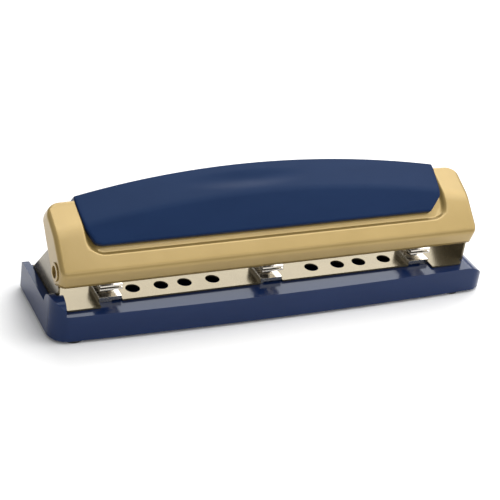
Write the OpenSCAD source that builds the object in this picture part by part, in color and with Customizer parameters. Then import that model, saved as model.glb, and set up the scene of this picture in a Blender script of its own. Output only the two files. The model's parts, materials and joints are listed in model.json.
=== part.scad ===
// Three-hole desk punch: moulded chip tray, hinged steel frame with three punch
// heads, and a sloping lever handle that drives the three pins together.
// Millimetres, Z up, X along the machine, the paper side faces -Y.
// The middle of the footprint is at the origin and the feet stand on Z = 0.

/* [Chip tray] */
// length of the tray over its rounded right end
tray_len = 304.5; // [300:0.5:308]
// depth of the tray at the middle of its bowed front
tray_dep = 73.5; // [72:0.5:78]
// height of the ledge in front of the steel plate
ledge_z = 19.5; // [19:0.1:19.6]
// wall thickness of the moulding
tray_wall = 2.4; // [1.6:0.1:3]
// height of the raised wall at the left end
cheek_z = 20.6; // [19:0.1:21]
// height of the rounded post at the front of that wall
post_z = 29.5; // [26:0.1:31]
// radius of the rubber feet
foot_r = 6; // [4:0.5:8]

/* [Steel frame] */
// half length of the frame over its two upturned ears
frame_half = 141.9; // [141.5:0.1:142]
// sheet thickness of the frame
frame_t = 1.2; // [0.8:0.1:1.4]
// height of the top face of the plate
plate_z = 21; // [20.8:0.1:21.2]
// radius of the round holes along the plate
hole_r = 4.6; // [4:0.1:5.5]

/* [Punch heads] */
// distance between neighbouring heads
head_pitch = 107.95; // [107:0.05:109]
// half width of a head
head_half = 7.35; // [6.5:0.05:8]
// height of the slot that takes the paper
slot_h = 4.8; // [4.2:0.1:4.8]
// radius of a punch pin
pin_r = 3.5; // [3:0.1:3.6]
// radius of the wire of the return springs
wire_r = 0.45; // [0.3:0.05:0.5]

/* [Handle] */
// half length of the steel handle
handle_half = 143.3; // [143.1:0.1:144]
// sheet thickness of the handle
handle_t = 1.1; // [0.8:0.1:1.1]
// depth of the recess that holds the grip
recess_d = 2.8; // [2:0.1:3]
// how far the grip stands proud of the handle face
grip_rise = 1; // [0.4:0.1:1.5]
// radius of the bar that presses on the pins
bar_r = 2.5; // [2:0.1:2.6]

/* [Hidden] */
$fn = 64;
asm_x = -5;
head_x = [asm_x - head_pitch, asm_x, asm_x + head_pitch];
pin_y = -12.85;
pivot_y = -19.95;
pivot_z = 43.7;
nose_y = -31.75;
nose_z = 47;
tilt = 42;
facet = 18;
crease_v = 41;
arch_r = 2200;
crown_r = 657;
crown_v = 62.8;
shoulder_v = 48.5;
pivot_v = 6.6;
pivot_w = -10.35;
rivet_r = 4.6;
plate_u = plate_z - frame_t;
rim_z = plate_u - 0.05;
front_r = 3600;
end_r = 17;
end_z = ledge_z - end_r + 0.1;
base_z = 2;
rear_z = 14;
front_corner = 12;
rear_corner = 5;
corner_x = tray_len / 2 - front_corner;
bow_y = front_r - tray_dep / 2;
corner_y = bow_y - sqrt(pow(front_r - front_corner, 2) - pow(corner_x, 2));
foot_h = base_z + 1;
hinge_x = 141.5;
hinge_z = 12;
hinge_r = 1.6;
lug_y = [4, 22];
lug_t = 2.4;
hole_shift = -1.8;
hole_x = [34.9, 53.9, 69.65, 88.35];
leaf_z = plate_z + 2.2;
strip_z = leaf_z + slot_h;
leaf_t = 1.2;
guide_z = strip_z + 2.2;
head_front = -9.7;
head_web = 8.4;
bar_arm = 7.35;
bar_rise = 23;
bar_y = pivot_y + bar_arm * cos(bar_rise);
bar_z = pivot_z + bar_arm * sin(bar_rise);
pin_top = bar_z - bar_r - 0.3;
bracket_x = [-120, -54, 54, 120];

// ---------- shared helpers ----------

// box between two corners
module block(a, b) { translate(a) cube(b - a); }

// rod along X
module rod_x(x0, x1, r) { translate([x0, 0, 0]) rotate([0, 90, 0]) cylinder(r = r, h = x1 - x0); }

// rod along Y
module rod_y(y0, y1, r) { translate([0, y0, 0]) rotate([-90, 0, 0]) cylinder(r = r, h = y1 - y0); }

// rectangle between two corners, its four corners rounded
module soft_rect(a, b, r) {
    translate([a.x + r, a.y]) square([b.x - a.x - 2 * r, b.y - a.y]);
    translate([a.x, a.y + r]) square([b.x - a.x, b.y - a.y - 2 * r]);
    for (x = [a.x + r, b.x - r], y = [a.y + r, b.y - r]) translate([x, y]) circle(r = r);
}

// ---------- chip tray ----------

// footprint: gently bowed front that runs tangent into its round corners
module tray_plan(inset = 0) {
    touch_x = corner_x * (front_r - inset) / (front_r - front_corner);
    side_x = tray_len / 2 - inset;
    rear_y = tray_dep / 2 - rear_corner;
    intersection() {
        translate([0, bow_y]) circle(r = front_r - inset, $fn = 1440);
        translate([-touch_x, -60]) square([2 * touch_x, 60]);
    }
    for (s = [-1, 1]) {
        translate([s * corner_x, corner_y]) circle(r = front_corner - inset);
        translate([s * (tray_len / 2 - rear_corner), rear_y]) circle(r = rear_corner - inset);
    }
    translate([-side_x, corner_y]) square([2 * side_x, rear_y - corner_y]);
    translate([rear_corner - tray_len / 2, -1])
        square([tray_len - 2 * rear_corner, tray_dep / 2 - inset + 1]);
}

// bulk of the tray up to the ledge, lower along the rear, its right end rounded over
module tray_bulk() {
    end_x = tray_len / 2 - end_r;
    intersection() {
        translate([0, 0, base_z]) linear_extrude(ledge_z - base_z) tray_plan();
        union() {
            block([-200, -60, 0], [end_x, 60, 30]);
            translate([end_x - 0.01, 0, end_z]) rod_y(-60, 60, end_r);
        }
        union() {
            block([-200, -60, 0], [200, 26.5, 30]);
            block([-200, -60, 0], [200, 60, rear_z]);
        }
    }
}

// raised end wall and the rounded post in front of the frame's ear
module left_cheek() {
    x0 = -tray_len / 2;
    intersection() {
        translate([0, 0, base_z]) linear_extrude(post_z) tray_plan();
        union() {
            block([x0, -24, 1], [x0 + 4.35, 28.75, cheek_z]);
            block([x0, -24, 1], [x0 + 4.35, 36.75, cheek_z - 8]);
            translate([x0, 28.75, cheek_z - 8]) rod_x(0, 4.35, 8);
            intersection() {
                union() {
                    block([x0, -36, 1], [x0 + 8.35, -24, post_z + 1]);
                    block([x0, -25, 1], [x0 + 4.35, -10, post_z + 1]);
                }
                union() {
                    block([x0 - 1, -33.8, 1], [x0 + 10, -20, post_z - 10.4]);
                    translate([x0 - 1, -24, post_z - 10]) rod_x(0, 11, 10);
                }
            }
        }
    }
}

// hollows inside the moulding: the chip space, and two beams closed off over the feet
module tray_hollows() {
    block([-143, -19.5, 3], [131.5, 24, 30]);
    difference() {
        for (beam = [[-40, ledge_z - 2], [26.5, rear_z - 2]])
            linear_extrude(beam[1]) intersection() {
                tray_plan(tray_wall);
                translate([-160, beam[0]]) square([296, 18]);
            }
        foot_spots() cylinder(r = foot_r + 1.6, h = 20);
    }
    block([131, 0, 3], [145.2, 26, 15]);
    for (y = lug_y) block([130, y - 1.7, 3], [145.2, y + 1.7, 30]);
}

module base_tray() {
    color([0.13, 0.19, 0.40]) difference() {
        union() {
            difference() {
                union() {
                    tray_bulk();
                    block([-146, -21.2, 6], [136.5, 26, rim_z]);
                }
                tray_hollows();
            }
            left_cheek();
            for (y = lug_y, s = [-1, 1])
                translate([0, y + s * 2.75, 0]) block([138, -1, base_z], [147, 1, 14.5]);
        }
        for (y = lug_y) translate([hinge_x, y, hinge_z]) rod_y(-3.5, 3.5, hinge_r);
        foot_spots() cylinder(r = foot_r, h = foot_h);
    }
}

module foot_spots() {
    for (x = [-137, 128], y = [-27.5, 28]) translate([x, y, 0]) children();
}

module tray_feet() {
    color([0.08, 0.08, 0.09]) foot_spots() cylinder(r = foot_r, h = foot_h);
}

module hinge_pins() {
    color([0.66, 0.67, 0.69])
        for (y = lug_y) translate([hinge_x, y, hinge_z]) rod_y(-3.5, 3.5, hinge_r);
}

// ---------- steel frame ----------

// outline of the plate, notched in front of each head
module plate_plan() {
    difference() {
        union() {
            translate([asm_x - frame_half, -23.25]) square([2 * frame_half, 49]);
            translate([asm_x - 130, -23.45]) square([260, 10]);
            for (s = [-1, 1]) translate([asm_x + s * 126.3, 0])
                soft_rect([-12.4, -28.75], [12.4, -10], 3);
        }
        for (x = head_x) translate([x - head_half - 0.4, -30]) square([2 * head_half + 0.8, 8.8]);
    }
}

// side view of an ear in the Y-Z plane
module ear_side() {
    polygon([[-23.25, plate_u], [25.75, plate_u], [1.5, 46], [-17.4, 51.05], [-26.3, 45.2],
        [-26.3, 42.2], [-22.6, 38], [-22.1, 35.6], [-23.25, 34]]);
    translate([pivot_y, pivot_z]) circle(r = 6.4);
}

// hinge lug that reaches down and out to the hinge pin
module lug_side() {
    polygon([[125, plate_u + 0.1], [133.6, plate_u + 0.1], [143.6, 14.2], [139.4, 9.8]]);
    translate([hinge_x, hinge_z]) circle(r = 3);
}

module frame_plate() {
    color([0.78, 0.70, 0.48]) difference() {
        union() {
            translate([0, 0, plate_u]) linear_extrude(frame_t) plate_plan();
            for (x = [asm_x - frame_half, asm_x + frame_half - frame_t]) translate([x, 0, 0])
                rotate([90, 0, 90]) linear_extrude(frame_t) ear_side();
            for (y = lug_y) translate([0, y + lug_t / 2, 0])
                rotate([90, 0, 0]) linear_extrude(lug_t) lug_side();
        }
        for (x = hole_x, s = [-1, 1]) translate([asm_x + hole_shift + s * x, pin_y, 15])
            cylinder(r = hole_r, h = 10);
        for (x = head_x) {
            translate([x, pin_y, 15]) cylinder(r = hole_r, h = 10);
            translate([x, pin_y + 14, 15]) cylinder(r = 1.25, h = 10);
        }
        for (y = lug_y) translate([hinge_x, y, hinge_z]) rod_y(-3, 3, hinge_r + 0.05);
        translate([0, pivot_y, pivot_z]) rod_x(-160, 160, rivet_r);
    }
}

// tubular rivet from the inside of an ear to the outside of the handle
module pivot_rivet(side) {
    color([0.72, 0.64, 0.44]) translate([asm_x, pivot_y, pivot_z]) mirror([side < 0 ? 1 : 0, 0, 0])
        difference() {
            union() {
                rod_x(frame_half - frame_t - 0.8, handle_half + 0.9, rivet_r);
                rod_x(frame_half - frame_t - 0.8, frame_half - frame_t, 5.8);
                rod_x(handle_half + 0.1, handle_half + 0.9, 5.8);
            }
            rod_x(frame_half - 10, handle_half + 10, 3.8);
        }
}

// ---------- punch heads ----------

// sheet steel head: die plate, rear web and two guide leaves; tab is the taller part of the lip
module punch_head(x, tab) {
    color([0.74, 0.73, 0.71]) translate([x, pin_y, 0]) difference() {
        union() {
            block([-head_half, head_front, plate_z], [head_half, head_web + leaf_t, leaf_z]);
            block([-head_half, head_front, 20.6], [head_half, head_front + leaf_t, leaf_z]);
            block([tab[0], head_front, 19.7], [tab[1], head_front + leaf_t, leaf_z]);
            block([-head_half, head_web, plate_z], [head_half, head_web + leaf_t, guide_z + leaf_t]);
            block([-head_half, head_front, strip_z],
                [head_half, head_web + leaf_t, strip_z + leaf_t]);
            block([-head_half, head_front, guide_z],
                [head_half, head_web + leaf_t, guide_z + leaf_t]);
            block([-5, head_web, plate_z], [5, 18.5, plate_z + leaf_t]);
        }
        translate([0, 0, 10]) cylinder(r = pin_r + 0.06, h = 30);
        translate([0, 14, 10]) cylinder(r = 1.6, h = 30);
    }
}

module head_left() { punch_head(head_x[0], [-head_half, 1.2]); }
module head_centre() { punch_head(head_x[1], [-head_half, -head_half + 2]); }
module head_right() { punch_head(head_x[2], [1.5, head_half]); }

module head_screws() {
    color([0.62, 0.62, 0.63]) for (x = head_x) translate([x, pin_y + 14, 0]) {
        translate([0, 0, 17.5]) cylinder(r = 1.2, h = 5);
        difference() {
            translate([0, 0, plate_z + leaf_t]) cylinder(r = 2.6, h = 1.6);
            block([-2, -0.3, plate_z + leaf_t + 1], [2, 0.3, plate_z + 4]);
            block([-0.3, -2, plate_z + leaf_t + 1], [0.3, 2, plate_z + 4]);
        }
    }
}

// pin with a shallow V cut across its tip and a flat head under the bar
module punch_pin(x) {
    color([0.70, 0.70, 0.72]) translate([x, pin_y, 0]) difference() {
        union() {
            translate([0, 0, strip_z]) cylinder(r = pin_r, h = pin_top - strip_z);
            translate([0, 0, pin_top - 1.2]) cylinder(r = 5, h = 1.2);
        }
        translate([0, 5, strip_z]) rotate([90, 0, 0]) linear_extrude(10)
            polygon([[-2.2, -0.1], [2.2, -0.1], [0, 1.4]]);
    }
}

module punch_pin_left() { punch_pin(head_x[0]); }
module punch_pin_centre() { punch_pin(head_x[1]); }
module punch_pin_right() { punch_pin(head_x[2]); }

module spring_washer(x) {
    color([0.55, 0.55, 0.57]) translate([x, pin_y, pin_top - 2.2]) difference() {
        cylinder(r = 5.8, h = 1);
        translate([0, 0, -1]) cylinder(r = pin_r, h = 3);
    }
}

module spring_washer_left() { spring_washer(head_x[0]); }
module spring_washer_centre() { spring_washer(head_x[1]); }
module spring_washer_right() { spring_washer(head_x[2]); }

// round-wire coil between the upper guide leaf and the washer
module pin_spring(x) {
    turns = 4;
    steps = 18 * turns;
    sides = 8;
    coil_r = 4.7;
    z0 = guide_z + leaf_t + wire_r + 0.05;
    rise = pin_top - 2.2 - wire_r - 0.05 - z0;
    points = [for (i = [0 : steps], j = [0 : sides - 1])
        let (a = 360 * turns * i / steps, b = 360 * j / sides, r = coil_r + wire_r * cos(b))
        [r * cos(a), r * sin(a), rise * i / steps + wire_r * sin(b)]];
    skin = [for (i = [0 : steps - 1], j = [0 : sides - 1])
        let (k = (j + 1) % sides)
        [i * sides + j, i * sides + k, (i + 1) * sides + k, (i + 1) * sides + j]];
    cap_a = [for (j = [0 : sides - 1]) sides - 1 - j];
    cap_b = [for (j = [0 : sides - 1]) steps * sides + j];
    color([0.60, 0.60, 0.62]) translate([x, pin_y, z0])
        polyhedron(points, concat([cap_a], skin, [cap_b]));
}

module pin_spring_left() { pin_spring(head_x[0]); }
module pin_spring_centre() { pin_spring(head_x[1]); }
module pin_spring_right() { pin_spring(head_x[2]); }

// ---------- handle ----------

// moves its children to the sloping face: X along, Y up the slope, Z out of the face
module on_slope() { translate([asm_x, nose_y, nose_z]) rotate([tilt, 0, 0]) children(); }

// everything under the face, d below it: flat low down, bent back and arched higher up
module under_face(d) {
    intersection() {
        block([-180, -40, -60], [180, 100, -d]);
        translate([0, crease_v, 0]) rotate([-facet, 0, 0]) translate([0, 0, -arch_r])
            rotate([90, 0, 0]) cylinder(r = arch_r - d, h = 240, center = true, $fn = 1440);
    }
}

// face outline, drawn in by inset: rounded nose corners, rounder shoulders, crowned middle
module face_plan(inset) {
    x = handle_half - inset;
    soft_rect([-x, inset - 4.7], [x, 30], 6 - inset);
    soft_rect([-x, 10], [x, shoulder_v - inset], 9 - inset);
    intersection() {
        translate([-125, 0]) square([250, 90]);
        translate([0, crown_v - 1.5 - crown_r]) circle(r = crown_r - inset, $fn = 720);
    }
}

// side view of the handle in the slope frame: rounded nose, back edge and pivot lobe
module side_plan() {
    polygon([[2.5, 0], [70, 0], [70, -15.5], [43, -15.5], [22, -17.2], [8, -18.3], [-4.6, -9.6],
        [-1.1, -2.3], [2.5, -4]]);
    translate([2.5, -4]) circle(r = 4);
    translate([pivot_v, pivot_w]) circle(r = 8.2);
}

// side view of the hollow behind the face, open at the back
module side_hollow() {
    t = handle_t;
    polygon([[2.5, -t], [80, -t], [80, -40], [-30, -40], [-30, -10.1], [-4.6 + t, -10.1],
        [-1.1 + 0.9 * t, -2.3 - 0.4 * t], [2.5, -4]]);
    translate([2.5, -4]) circle(r = 4 - t);
}

// extrudes a side view over the length between -x and x
module along(x) { translate([-x, 0, 0]) rotate([90, 0, 90]) linear_extrude(2 * x) children(); }

module recess_plan(grow) {
    soft_rect([-125 - grow, 10.8 - grow], [125 + grow, 90], 12 + grow);
}

module shell_solid() {
    intersection() {
        translate([0, 0, -30]) linear_extrude(40) face_plan(0);
        along(handle_half) side_plan();
        under_face(0);
    }
}

module handle_shell() {
    color([0.80, 0.72, 0.50]) on_slope() difference() {
        union() {
            difference() {
                shell_solid();
                intersection() {
                    translate([0, 0, -50]) linear_extrude(60) face_plan(handle_t);
                    along(handle_half - handle_t) side_hollow();
                    under_face(handle_t);
                }
            }
            difference() {
                intersection() {
                    shell_solid();
                    translate([0, 0, -30]) linear_extrude(40) recess_plan(handle_t);
                }
                under_face(recess_d + handle_t);
            }
        }
        difference() {
            translate([0, 0, -30]) linear_extrude(40) recess_plan(0);
            under_face(recess_d);
        }
        translate([0, pivot_v, pivot_w]) rod_x(-160, 160, rivet_r + 0.05);
        screw_spots() translate([0, 0, -12]) cylinder(r = 1.25, h = 20);
    }
}

module grip_plan() {
    intersection() {
        polygon([[-113, 16.9], [111.5, 16.9], [121, 26.8], [122, 32], [125, 47], [125, 80],
            [-125, 80], [-125, 47], [-123.5, 28.5], [-119.5, 19.1]]);
        translate([0, crown_v - crown_r]) circle(r = crown_r, $fn = 720);
    }
}

module handle_grip() {
    color([0.11, 0.16, 0.36]) on_slope() difference() {
        intersection() {
            translate([0, 0, -14]) linear_extrude(20) grip_plan();
            under_face(-grip_rise);
        }
        intersection() {
            translate([0, 0, -30]) linear_extrude(40) face_plan(-0.05);
            under_face(recess_d - 0.02);
        }
        screw_spots() translate([0, 0, -3]) cylinder(r = 1.2, h = 2);
    }
}

module screw_spots() {
    for (x = [-75, 0, 75]) translate([x, 27, 0]) children();
}

module grip_screws() {
    color([0.62, 0.62, 0.63]) on_slope() screw_spots() difference() {
        union() {
            translate([0, 0, -4.5]) cylinder(r = 1.2, h = 3.5);
            translate([0, 0, -recess_d - handle_t - 1.5]) cylinder(r = 2.5, h = 1.5);
        }
        block([-2, -0.3, -8], [2, 0.3, -recess_d - handle_t - 1]);
        block([-0.3, -2, -8], [0.3, 2, -recess_d - handle_t - 1]);
    }
}

module press_bar() {
    color([0.68, 0.68, 0.70]) translate([asm_x, bar_y, bar_z]) rod_x(-125, 125, bar_r);
}

// tabs that hang the bar from the underside of the recess
module bar_brackets() {
    color([0.70, 0.69, 0.66]) difference() {
        on_slope() for (x = bracket_x) translate([x - 1, 0, 0])
            rotate([90, 0, 90]) linear_extrude(2) {
                polygon([[11, -recess_d - handle_t], [24, -recess_d - handle_t], [17, -14],
                    [9.2, -14]]);
                translate([13.1, -13.2]) circle(r = 4);
            }
        translate([asm_x, bar_y, bar_z]) rod_x(-130, 130, bar_r);
    }
}

base_tray();
tray_feet();
hinge_pins();
frame_plate();
pivot_rivet(-1);  // pivot_rivet_left
pivot_rivet(1);  // pivot_rivet_right
head_left();
head_centre();
head_right();
head_screws();
punch_pin_left();
punch_pin_centre();
punch_pin_right();
spring_washer_left();
spring_washer_centre();
spring_washer_right();
pin_spring_left();
pin_spring_centre();
pin_spring_right();
handle_shell();
handle_grip();
grip_screws();
press_bar();
bar_brackets();
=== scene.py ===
import json
import math

import bmesh
import bpy
from mathutils import Matrix, Vector


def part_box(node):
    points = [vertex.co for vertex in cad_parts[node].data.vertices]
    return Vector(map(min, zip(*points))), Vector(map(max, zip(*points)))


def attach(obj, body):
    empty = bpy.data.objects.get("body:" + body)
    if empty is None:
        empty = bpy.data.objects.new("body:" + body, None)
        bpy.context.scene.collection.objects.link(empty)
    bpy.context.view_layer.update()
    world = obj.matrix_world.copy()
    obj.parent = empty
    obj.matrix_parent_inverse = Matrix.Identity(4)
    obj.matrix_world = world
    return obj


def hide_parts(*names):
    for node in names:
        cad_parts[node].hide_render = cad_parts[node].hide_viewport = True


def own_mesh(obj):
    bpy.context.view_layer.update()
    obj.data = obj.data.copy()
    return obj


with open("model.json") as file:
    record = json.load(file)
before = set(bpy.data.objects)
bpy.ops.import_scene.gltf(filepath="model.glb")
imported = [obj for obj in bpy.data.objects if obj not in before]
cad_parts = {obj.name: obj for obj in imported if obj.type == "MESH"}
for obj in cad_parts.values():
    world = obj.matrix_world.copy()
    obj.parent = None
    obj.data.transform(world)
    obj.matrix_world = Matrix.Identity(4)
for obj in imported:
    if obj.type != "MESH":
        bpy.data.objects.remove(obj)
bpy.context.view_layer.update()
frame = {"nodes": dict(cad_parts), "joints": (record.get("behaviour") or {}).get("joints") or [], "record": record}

NODES = frame["nodes"]
JOINT = {j["name"]: j for j in frame["joints"]}
MM = 0.001

# ---------- the pivot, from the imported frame, and the slope of the handle ----------

PIVOT = Vector(JOINT["handle_hinge"]["pos_m"]) / MM
MIDDLE_X = PIVOT.x
# Slope of the handle face at rest, and the origin of the slope frame beside the pivot.
TILT = math.radians(42)
SLOPE_Y, SLOPE_Z = PIVOT.y - 11.8, PIVOT.z + 3.3


def on_slope(u, v, w):
    """Point given in the handle's slope frame in mm, as metres in the shared frame."""
    c, s = math.cos(TILT), math.sin(TILT)
    return Vector((MIDDLE_X + u, SLOPE_Y + v * c - w * s, SLOPE_Z + v * s + w * c)) * MM


# ---------- materials ----------


class Nodes:
    """Short names for building a node tree."""

    def __init__(self, name):
        self.mat = bpy.data.materials.new(name)
        self.mat.use_nodes = True
        self.tree = self.mat.node_tree
        self.bsdf = self.tree.nodes["Principled BSDF"]
        self.coord = self.new("ShaderNodeTexCoord").outputs["Object"]

    def new(self, kind, **sockets):
        node = self.tree.nodes.new(kind)
        for key, value in sockets.items():
            node.inputs[key].default_value = value
        return node

    def link(self, a, b):
        self.tree.links.new(a, b)

    def noise(self, scale, detail, stretch=None):
        node = self.new("ShaderNodeTexNoise", Scale=scale, Detail=detail, Roughness=0.55)
        src = self.coord
        if stretch:
            mapping = self.new("ShaderNodeMapping", Scale=stretch)
            self.link(src, mapping.inputs["Vector"])
            src = mapping.outputs["Vector"]
        self.link(src, node.inputs["Vector"])
        return node.outputs["Fac"]

    def ramp(self, fac, *stops):
        """stops are (position, linear colour) pairs."""
        node = self.new("ShaderNodeValToRGB")
        ramp = node.color_ramp
        while len(ramp.elements) < len(stops):
            ramp.elements.new(0.5)
        for element, (pos, colour) in zip(ramp.elements, stops):
            element.position = pos
            element.color = (*colour, 1.0)
        self.link(fac, node.inputs["Fac"])
        return node.outputs["Color"]

    def grey(self, fac, low, high):
        return self.ramp(fac, (0.3, (low,) * 3), (0.7, (high,) * 3))

    def bump(self, *layers):
        """layers are (height socket, strength, distance in metres), laid over each other."""
        normal = None
        for height, strength, distance in layers:
            node = self.new("ShaderNodeBump", Strength=strength, Distance=distance)
            self.link(height, node.inputs["Height"])
            if normal:
                self.link(normal, node.inputs["Normal"])
            normal = node.outputs["Normal"]
        self.link(normal, self.bsdf.inputs["Normal"])

    def set(self, **sockets):
        """Socket names are written with underscores for their spaces."""
        for key, value in sockets.items():
            self.bsdf.inputs[key.replace("_", " ")].default_value = value


def moulded(name, dark, light, rough, grain, shine, tint):
    """Injection-moulded plastic: fine spark texture, faint flow marks."""
    m = Nodes(name)
    flow = m.noise(38, 4, stretch=(0.35, 1.0, 1.0))
    m.link(m.ramp(flow, (0.3, dark), (0.7, light)), m.bsdf.inputs["Base Color"])
    m.link(m.grey(m.noise(210, 4), rough - 0.05, rough + 0.06), m.bsdf.inputs["Roughness"])
    m.bump((m.noise(4200, 2), grain, 0.00004), (m.noise(620, 3), 0.05, 0.00008))
    m.set(Metallic=0.0, IOR=1.5, Specular_IOR_Level=shine, Specular_Tint=(*tint, 1.0))
    return m.mat


def metallic_paint(name, dark, light, rough, metal, coat):
    """Champagne coat over pressed steel: fine flake, faint orange peel."""
    m = Nodes(name)
    tone = m.noise(26, 3)
    m.link(m.ramp(tone, (0.3, dark), (0.7, light)), m.bsdf.inputs["Base Color"])
    m.link(m.grey(m.noise(5200, 1), rough - 0.06, rough + 0.08), m.bsdf.inputs["Roughness"])
    m.bump((m.noise(6500, 1), 0.10, 0.00003), (m.noise(340, 2), 0.05, 0.00010))
    m.set(Metallic=metal, Coat_Weight=coat, Coat_Roughness=0.12)
    return m.mat


def steel(name, dark, light, rough, stretch, depth=0.18):
    """Rolled or drawn steel with the grain along one axis."""
    m = Nodes(name)
    grain = m.noise(900, 4, stretch=stretch)
    m.link(m.ramp(grain, (0.25, dark), (0.75, light)), m.bsdf.inputs["Base Color"])
    m.link(m.grey(grain, rough - 0.06, rough + 0.10), m.bsdf.inputs["Roughness"])
    m.bump((grain, depth, 0.00004), (m.noise(120, 2), 0.04, 0.00010))
    m.set(Metallic=1.0)
    return m.mat


def rubber(name):
    m = Nodes(name)
    m.link(m.ramp(m.noise(300, 3), (0.3, (0.012, 0.012, 0.014)), (0.7, (0.028, 0.028, 0.03))),
           m.bsdf.inputs["Base Color"])
    m.link(m.grey(m.noise(500, 3), 0.72, 0.9), m.bsdf.inputs["Roughness"])
    m.bump((m.noise(2600, 3), 0.35, 0.00008))
    return m.mat


MAT = {
    "navy_plastic": moulded("navy_plastic", (0.006, 0.017, 0.066), (0.008, 0.021, 0.078),
                            0.14, 0.05, 0.24, (0.80, 0.90, 1.0)),
    "grip_plastic": moulded("grip_plastic", (0.005, 0.015, 0.054), (0.007, 0.019, 0.064),
                            0.34, 0.20, 0.12, (0.40, 0.65, 1.0)),
    "gold_paint": metallic_paint("gold_paint", (0.325, 0.224, 0.072), (0.365, 0.254, 0.086),
                                 0.34, 0.42, 0.30),
    "bright_steel": steel("bright_steel", (0.60, 0.56, 0.49), (0.78, 0.74, 0.66), 0.20, (0.25, 1, 1)),
    "dark_steel": steel("dark_steel", (0.20, 0.20, 0.21), (0.34, 0.34, 0.35), 0.30, (1, 1, 0.2)),
    "spring_steel": steel("spring_steel", (0.38, 0.38, 0.40), (0.52, 0.52, 0.54), 0.28, (1, 1, 0.4)),
    "black_rubber": rubber("black_rubber"),
}
# The frame plate keeps its gold_paint slot, with a darker and more metallic coat than the handle's. The extra
# metal is the plate's gloss; the darker colour is painted shade for the plate and ears that lie under the handle.
PLATE_SHADED_GOLD = metallic_paint("plate_shaded_gold", (0.165, 0.138, 0.086), (0.195, 0.163, 0.102),
                              0.20, 0.75, 0.12)

# ---------- mesh helpers ----------


def make_object(name, verts, faces, slot_name):
    mesh = bpy.data.meshes.new(name)
    mesh.from_pydata([tuple(v) for v in verts], [], faces)
    mesh.validate()
    bm = bmesh.new()
    bm.from_mesh(mesh)
    bmesh.ops.remove_doubles(bm, verts=bm.verts, dist=1e-7)
    bmesh.ops.recalc_face_normals(bm, faces=bm.faces)
    bm.to_mesh(mesh)
    bm.free()
    for poly in mesh.polygons:
        poly.use_smooth = True
    obj = bpy.data.objects.new(name, mesh)
    bpy.context.scene.collection.objects.link(obj)
    obj.data.materials.append(MAT[slot_name])
    return obj


def stitch(row_count, n, closed=False):
    """Quads between neighbouring rows of n points each. Indices run row by row."""
    faces = []
    for i in range(row_count - 1):
        for j in range(n if closed else n - 1):
            k = (j + 1) % n
            faces.append((i * n + j, i * n + k, (i + 1) * n + k, (i + 1) * n + j))
    return faces


def finish_piece(obj, body, slot_name, *replaced):
    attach(obj, body)
    if replaced:
        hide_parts(*replaced)
    return obj


def modifier(obj, kind, name, **values):
    mod = obj.modifiers.new(name, kind)
    for key, value in values.items():
        setattr(mod, key, value)
    return mod


def steps(*breaks):
    """breaks are (start, end, step) spans; one rising list of values without repeats."""
    out = []
    for a, b, step in breaks:
        n = max(1, round(abs(b - a) / step))
        out += [a + (b - a) * i / n for i in range(n + 1)]
    keep = []
    for value in out:
        if not keep or abs(value - keep[-1]) > 1e-6:
            keep.append(value)
    return keep


def smooth_step(x):
    x = min(1.0, max(0.0, x))
    return x * x * (3 - 2 * x)


def smooth_min(a, b, k):
    h = max(k - abs(a - b), 0.0) / k
    return min(a, b) - h * h * k * 0.25


# ---------- handle face ----------

# Lengths are in mm, in the slope frame: u along the handle, v up the slope, w out of the face.
FACET = math.radians(18)
CREASE_V = 41.0
ARCH_R = 2200.0
CROWN_R = 657.0
CROWN_V = 62.8
SHOULDER_V = 48.5
CROWN_HALF = 125
HANDLE_HALF = 143.3
SHEET = 1.1
REAR_W = -15.5
REAR_ROUND = 2.4
NOSE_V, NOSE_W, NOSE_R = 2.5, -4.0, 4
NOSE_START_DEG = 154.4
NOSE_STEPS = 8
LIP_V = -4.6
NOSE_SPAN = 13.5
RECESS_HALF = 124.8
RECESS_LOW = 10.4
RECESS_R = 12.0
RECESS_DEPTH = 2.8
RECESS_WALL = 3.0
EDGE_R = 2.6
NOSE_CORNER = 4.6
REAR_CORNER = 9.0
PIVOT_V, PIVOT_W = 6.6, -10.35
BORE_R = 4.62
SNAP_IN, SNAP_OUT = 0.42, 0.25
WALL_STEPS = 30
FACE_SPLIT = 28
FACE_STEPS = 22
END_ZONE = 9
END_STEPS = [0, 0.03, 0.09, 0.2, 0.32, 0.52, 0.76, 1.02, 1.3, 1.75, 2.2, 2.6, 3.1, 3.8, 4.5, 5.2,
             6.0, 6.8, 7.8]


def face_w(u, v, lift=0.0, soft=1.2):
    """Height of the face: flat low down, bent back and arched above the crease."""
    arch = math.sqrt((ARCH_R + lift) ** 2 - u * u) - ARCH_R
    upper = -(v - CREASE_V) * math.tan(FACET) + arch / math.cos(FACET)
    return smooth_min(lift, upper, soft)


def crown(u, back=0.0):
    """Bowed rear edge of the handle at station u, drawn in by back."""
    return CROWN_V - back - CROWN_R + math.sqrt(CROWN_R ** 2 - u * u)


def rounded_box_distance(u, v, half_u, lo_v, hi_v, r):
    """Signed distance to a rounded rectangle in plan, negative inside."""
    cv, hv = (lo_v + hi_v) / 2, (hi_v - lo_v) / 2
    qu, qv = abs(u) - half_u + r, abs(v - cv) - hv + r
    return math.hypot(max(qu, 0), max(qv, 0)) + min(max(qu, qv), 0) - r


def recess(u, v):
    """Depth of the pressed seat under the grip, with its soft sloping wall."""
    side = rounded_box_distance(u, v, RECESS_HALF, RECESS_LOW, 110.0, RECESS_R)
    return RECESS_DEPTH * smooth_step(-side / RECESS_WALL)


def corner_shift(u, radius):
    """How far a rounded corner of this radius draws an edge in at station u."""
    left = max(0.0, radius - (HANDLE_HALF - abs(u)))
    return radius - math.sqrt(max(0.0, radius * radius - left * left))


def piecewise(x, marks):
    """Value at x on the line through the marks; the last mark's value beyond the end."""
    for (x0, y0), (x1, y1) in zip(marks, marks[1:]):
        if x <= x1:
            return y0 + (y1 - y0) * (x - x0) / (x1 - x0)
    return marks[-1][1]


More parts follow.
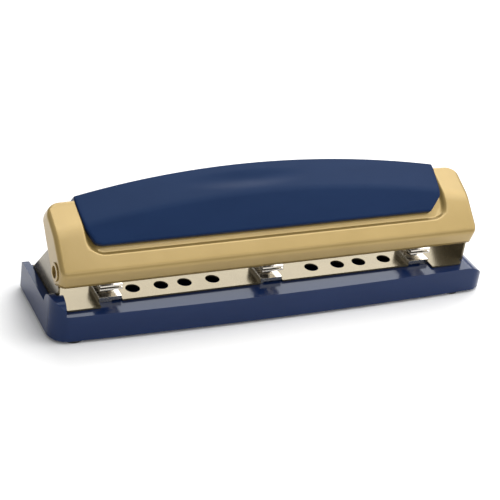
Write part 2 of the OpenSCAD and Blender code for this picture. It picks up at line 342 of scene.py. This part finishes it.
def shell_under(v):
    """Lower edge of the end wall: short at the nose, deepest around the pivot."""
    return piecewise(v, [(LIP_V, -9.6), (-1.6, -11.7), (-1.0, -13.3), (0.0, -15.2), (1.4, -16.7),
                         (3.2, -17.8), (PIVOT_V, -18.55), (10.5, -18.0), (22, -17.2), (43, REAR_W),
                         (60, REAR_W)])


def shell_profile(u):
    """Outer side view at station u, from the lip under the nose over the face to the rear edge."""
    drop = corner_shift(u, EDGE_R)
    nose = corner_shift(u, NOSE_CORNER)
    lip_v = LIP_V + nose
    lip_w = shell_under(lip_v)
    arc = []
    for k in range(NOSE_STEPS + 1):
        a = math.radians(NOSE_START_DEG - k * (NOSE_START_DEG - 90) / NOSE_STEPS)
        arc.append((NOSE_V + nose + NOSE_R * math.cos(a), NOSE_W - drop + NOSE_R * math.sin(a)))
    rise_v, rise_w = arc[0][0] - lip_v, arc[0][1] - lip_w
    pts = [(lip_v + rise_v * t, lip_w + rise_w * t) for t in (0, 0.25, 0.5, 0.75)]
    pts += arc
    for v in steps((3.1, 9.6, 0.6), (9.6, 14.4, 0.4), (14.4, FACE_SPLIT, 2.2)):
        if v < NOSE_V + NOSE_SPAN:
            v = NOSE_V + nose + (v - NOSE_V) * (NOSE_SPAN - nose) / NOSE_SPAN
        pts.append((v, face_w(u, v) - recess(u, v) - drop))
    # between the shoulders the rear edge follows the crown, just inside the grip's rear edge
    bow = crown(u, 1.5) if abs(u) < CROWN_HALF else 0
    rear = max(SHOULDER_V, bow) - corner_shift(u, REAR_CORNER)
    top = rear - REAR_ROUND
    for k in range(1, FACE_STEPS + 1):
        v = FACE_SPLIT + (top - FACE_SPLIT) * k / FACE_STEPS
        pts.append((v, face_w(u, v) - recess(u, v) - drop))
    edge_w = pts[-1][1]
    for k in range(1, 6):
        a = math.radians(90 - k * 18)
        pts.append((top + REAR_ROUND * math.cos(a), edge_w - REAR_ROUND + REAR_ROUND * math.sin(a)))
    start, low = pts[-1][1], shell_under(rear)
    for k in range(1, WALL_STEPS + 1):
        pts.append((rear, start + (low - start) * k / WALL_STEPS))
    return pts


def build_shell():
    """Stamped handle: profiles along the face, then an end wall with the rivet bore at each end."""
    # short steps where the recess ends and, in END_STEPS, around the corners
    middle = steps((-HANDLE_HALF + END_ZONE, -128, 1.6), (-128, -110, 0.7), (-110, 110, 4.0),
                   (110, 128, 0.7), (128, HANDLE_HALF - END_ZONE, 1.6))
    stations = [c - HANDLE_HALF for c in END_STEPS] + middle
    stations += [HANDLE_HALF - c for c in reversed(END_STEPS)]
    outlines = [shell_profile(u) for u in stations]
    verts = [on_slope(u, v, w) for u, row in zip(stations, outlines) for v, w in row]
    faces = stitch(len(stations), len(outlines[0]))
    for u, outline in ((stations[0], outlines[0]), (stations[-1], outlines[-1])):
        outline = outline[:-WALL_STEPS]
        n = len(outline)
        base = len(verts)
        reaches = []
        for k in range(WALL_STEPS + 1):
            for v, w in outline:
                wall_w = w + (min(w, shell_under(v)) - w) * k / WALL_STEPS
                dv, dw = v - PIVOT_V, wall_w - PIVOT_W
                reach = math.hypot(dv, dw)
                # points close to the bore are drawn onto its edge
                if BORE_R - SNAP_IN < reach < BORE_R + SNAP_OUT:
                    dv, dw = dv * BORE_R / reach, dw * BORE_R / reach
                    reach = BORE_R
                reaches.append(reach)
                verts.append(on_slope(u, PIVOT_V + dv, PIVOT_W + dw))
        # faces inside the bore are left out
        for i in range(WALL_STEPS):
            for j in range(n - 1):
                quad = (i * n + j, i * n + j + 1, (i + 1) * n + j + 1, (i + 1) * n + j)
                if sum(reaches[q] for q in quad) / 4 > BORE_R - 0.05:
                    faces.append(tuple(base + q for q in quad))
    obj = make_object("handle_pressing", verts, faces, "gold_paint")
    modifier(obj, "SOLIDIFY", "sheet", thickness=SHEET * MM, offset=-1, use_even_offset=False)
    return finish_piece(obj, "handle", "gold_paint", "handle_shell")


# ---------- grip ----------

GRIP_LIFT = 1.0
GRIP_LOW = 16.9
GRIP_EDGE = 0.9
GRIP_WALL = 1.4
GRIP_REAR_W = -14.0
GRIP_REAR_V = 47.2
GRIP_SEAT = 2.75
GRIP_COLUMNS, GRIP_ROWS = 150, 60
DIMPLE_U, DIMPLE_V = -12, 51
DIMPLE_HALF_U, DIMPLE_HALF_V = 46, 7.5
DIMPLE_DEPTH = 1.2


def grip_edges(v):
    """Left and right limits of the grip; the lower corners are cut at different slants."""
    left = [(GRIP_LOW, -113), (19.2, -119.4), (28.5, -123.5), (38, -124.6), (47, -125), (70, -125)]
    right = [(GRIP_LOW, 111.5), (26.8, 121), (30, 121.8), (47, 124.7), (70, 124.7)]
    return piecewise(v, left), piecewise(v, right)


def palm_dimple(u, v):
    """Shallow hollow on the upper facet, a little left of the middle."""
    d = math.hypot((u - DIMPLE_U) / DIMPLE_HALF_U, (v - DIMPLE_V) / DIMPLE_HALF_V)
    return DIMPLE_DEPTH * (1 - smooth_step(d))


def build_grip():
    """Moulded grip: a grid over the top, a rounded edge, a wall down into the recess and over the rear."""
    nu, nv = GRIP_COLUMNS, GRIP_ROWS
    r = GRIP_EDGE
    rows = []
    for j in range(nv + 1):
        b = j / nv
        row = []
        for i in range(nu + 1):
            a = i / nu
            v = GRIP_LOW + r
            # the side limits depend on v and the rear edge on u, so the point is found by repeating
            for _ in range(6):
                left, right = grip_edges(v)
                u = left + r + (right - left - 2 * r) * a
                v = GRIP_LOW + r + (crown(u) - GRIP_LOW - 2 * r) * b
            row.append((u, v))
        rows.append(row)
    loop = rows[0][:] + [row[-1] for row in rows[1:]]
    loop += rows[-1][-2::-1] + [row[0] for row in rows[-2:0:-1]]
    count = len(loop)
    normals = []
    for k in range(count):
        (u0, v0), (u1, v1) = loop[k - 3], loop[(k + 3) % count]
        tu, tv = u1 - u0, v1 - v0
        size = math.hypot(tu, tv) or 1
        normals.append((tv / size, -tu / size))

    def surface(u, v):
        return face_w(u, v, GRIP_LIFT, 0.8) - palm_dimple(u, v)

    width = nu + 1
    verts = [on_slope(u, v, surface(u, v)) for row in rows for u, v in row]
    faces = stitch(len(rows), width)
    ring = list(range(width)) + [j * width + nu for j in range(1, nv + 1)]
    ring += [nv * width + i for i in range(nu - 1, -1, -1)] + [j * width for j in range(nv - 1, 0, -1)]
    for deg in (25, 50, 72, 90):
        a = math.radians(deg)
        base = len(verts)
        for (u, v), (nx, ny) in zip(loop, normals):
            verts.append(on_slope(u + nx * r * math.sin(a), v + ny * r * math.sin(a),
                                  surface(u, v) - r * (1 - math.cos(a))))
        new = list(range(base, base + count))
        faces += [(ring[k], ring[(k + 1) % count], new[(k + 1) % count], new[k]) for k in range(count)]
        ring = new
    for part in (0.5, 1.0):
        base = len(verts)
        for (u, v), (nx, ny) in zip(loop, normals):
            start = surface(u, v) - r
            seat = face_w(u, v) - GRIP_SEAT
            floor = seat + (GRIP_REAR_W - seat) * smooth_step((v - GRIP_REAR_V) / 1.4)
            verts.append(on_slope(u + nx * r, v + ny * r, start + (floor - start) * part))
        new = list(range(base, base + count))
        faces += [(ring[k], ring[(k + 1) % count], new[(k + 1) % count], new[k]) for k in range(count)]
        ring = new
    obj = make_object("grip_cover", verts, faces, "grip_plastic")
    modifier(obj, "SOLIDIFY", "wall", thickness=GRIP_WALL * MM, offset=-1)
    return finish_piece(obj, "handle", "grip_plastic", "handle_grip")


# ---------- return springs ----------

WIRE_R = 0.45 * MM
TURNS = 5
TURN_STEPS = 36
RING_SIDES = 12
CLOSED_END = 0.16


def build_spring(side):
    """Round-wire coil with closed ends, sized to the box of its pin spring and fixed to the frame."""
    node = "pin_spring_" + side
    low, high = (Vector(c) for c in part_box(node))
    centre = (low + high) / 2
    coil_r = (high.x - low.x) / 2 - WIRE_R
    rise = high.z - low.z - 2 * WIRE_R
    closed = 2 * WIRE_R * TURNS / rise
    count = TURN_STEPS * TURNS
    rows = []
    ring = [2 * math.pi * k / RING_SIDES for k in range(RING_SIDES)]
    for i in range(count + 1):
        t = i / count
        spread = smooth_step((t - CLOSED_END) / (1 - 2 * CLOSED_END))
        z = low.z + WIRE_R + rise * (closed * t + (1 - closed) * spread)
        a = 2 * math.pi * TURNS * t
        rows.append([Vector((centre.x + (coil_r + WIRE_R * math.cos(b)) * math.cos(a),
                             centre.y + (coil_r + WIRE_R * math.cos(b)) * math.sin(a),
                             z + WIRE_R * math.sin(b))) for b in ring])
    faces = stitch(len(rows), RING_SIDES, closed=True)
    faces += [tuple(range(RING_SIDES)), tuple(count * RING_SIDES + k for k in range(RING_SIDES))]
    obj = make_object("return_spring_" + side, [v for row in rows for v in row], faces, "spring_steel")
    finish_piece(obj, "frame", "spring_steel", node)
    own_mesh(obj)


build_shell()
build_grip()
for spring_side in ("left", "centre", "right"):
    build_spring(spring_side)

# ---------- carried-over CAD nodes ----------

# Width of the edge bevel in mm; every node that isn't listed gets SMALL_EDGE.
BEVEL = {"base_tray": 1.1, "frame_plate": 0.3, "tray_feet": 0.4}
SMALL_EDGE = 0.2
REPLACED = {"handle_shell", "handle_grip", "pin_spring_left", "pin_spring_centre", "pin_spring_right"}
for node in frame["record"]["subparts"]:
    name = node["node"]
    if name in REPLACED:
        continue
    obj = NODES[name]
    obj.data.materials.clear()
    # the frame plate takes the darker copy of the gold, painted shade for the plate and ears under the handle
    obj.data.materials.append(PLATE_SHADED_GOLD if name == "frame_plate" else MAT[node["material_slot"]])
    modifier(obj, "WELD", "weld", merge_threshold=2e-6)
    modifier(obj, "BEVEL", "edge", width=BEVEL.get(name, SMALL_EDGE) * MM, segments=3,
             limit_method="ANGLE", angle_limit=math.radians(35), harden_normals=False)
    modifier(obj, "WEIGHTED_NORMAL", "normals", keep_sharp=True)

# ---------- floor, light and camera ----------


def flat_mesh(name, size, z, material):
    mesh = bpy.data.meshes.new(name)
    s = size / 2
    mesh.from_pydata([(-s, -s, z), (s, -s, z), (s, s, z), (-s, s, z)], [], [(0, 1, 2, 3)])
    obj = bpy.data.objects.new(name, mesh)
    bpy.context.scene.collection.objects.link(obj)
    mesh.materials.append(material)
    return obj


floor_mat = Nodes("pale_floor")
floor_mat.link(floor_mat.grey(floor_mat.noise(3, 2), 0.90, 0.92), floor_mat.bsdf.inputs["Base Color"])
floor_mat.set(Roughness=0.9, Specular_IOR_Level=0.1)
floor = flat_mesh("studio_floor", 8.0, 0.0, floor_mat.mat)


def softbox(name, place, aim, size, power):
    light = bpy.data.lights.new(name, "AREA")
    light.shape = "RECTANGLE"
    light.size, light.size_y = size
    light.energy = power
    obj = bpy.data.objects.new(name, light)
    bpy.context.scene.collection.objects.link(obj)
    obj.location = place
    obj.rotation_euler = (Vector(aim) - Vector(place)).to_track_quat("-Z", "Y").to_euler()


CENTRE = (0.0, 0.0, 0.03)
softbox("top_box", (0.55, 0.20, 1.35), CENTRE, (1.8, 1.1), 22)
softbox("back_panel", (0.89, 1.68, 1.13), CENTRE, (2.6, 1.1), 28)
softbox("front_box", (0.45, -1.50, 1.25), CENTRE, (1.6, 0.8), 5)
softbox("right_box", (1.45, -0.60, 0.75), CENTRE, (0.8, 0.8), 5)

world = bpy.data.worlds.new("studio")
bpy.context.scene.world = world
world.use_nodes = True
world.node_tree.nodes["Background"].inputs["Color"].default_value = (1.0, 1.0, 1.0, 1.0)
world.node_tree.nodes["Background"].inputs["Strength"].default_value = 0.50
bpy.context.scene.view_settings.view_transform = "Standard"

# Camera fitted to the photo: where it stands in metres, which way it looks and how far it is tilted.
EYE = Vector((-0.40472, -0.74281, 0.51605))
LENS_MM = 108.985
AZIMUTH = math.radians(27.902)
ELEVATION = math.radians(29.987)
ROLL = math.radians(8.524)
back = Vector((-math.sin(AZIMUTH) * math.cos(ELEVATION), -math.cos(AZIMUTH) * math.cos(ELEVATION),
               math.sin(ELEVATION)))
right = Vector((math.cos(AZIMUTH), -math.sin(AZIMUTH), 0))
up = back.cross(right)
side = right * math.cos(ROLL) + up * math.sin(ROLL)
top = up * math.cos(ROLL) - right * math.sin(ROLL)
camera_data = bpy.data.cameras.new("camera")
camera_data.sensor_width = 36
camera_data.lens = LENS_MM
camera = bpy.data.objects.new("camera", camera_data)
bpy.context.scene.collection.objects.link(camera)
camera.matrix_world = Matrix.Translation(EYE) @ Matrix((side, top, back)).transposed().to_4x4()
bpy.context.scene.camera = camera
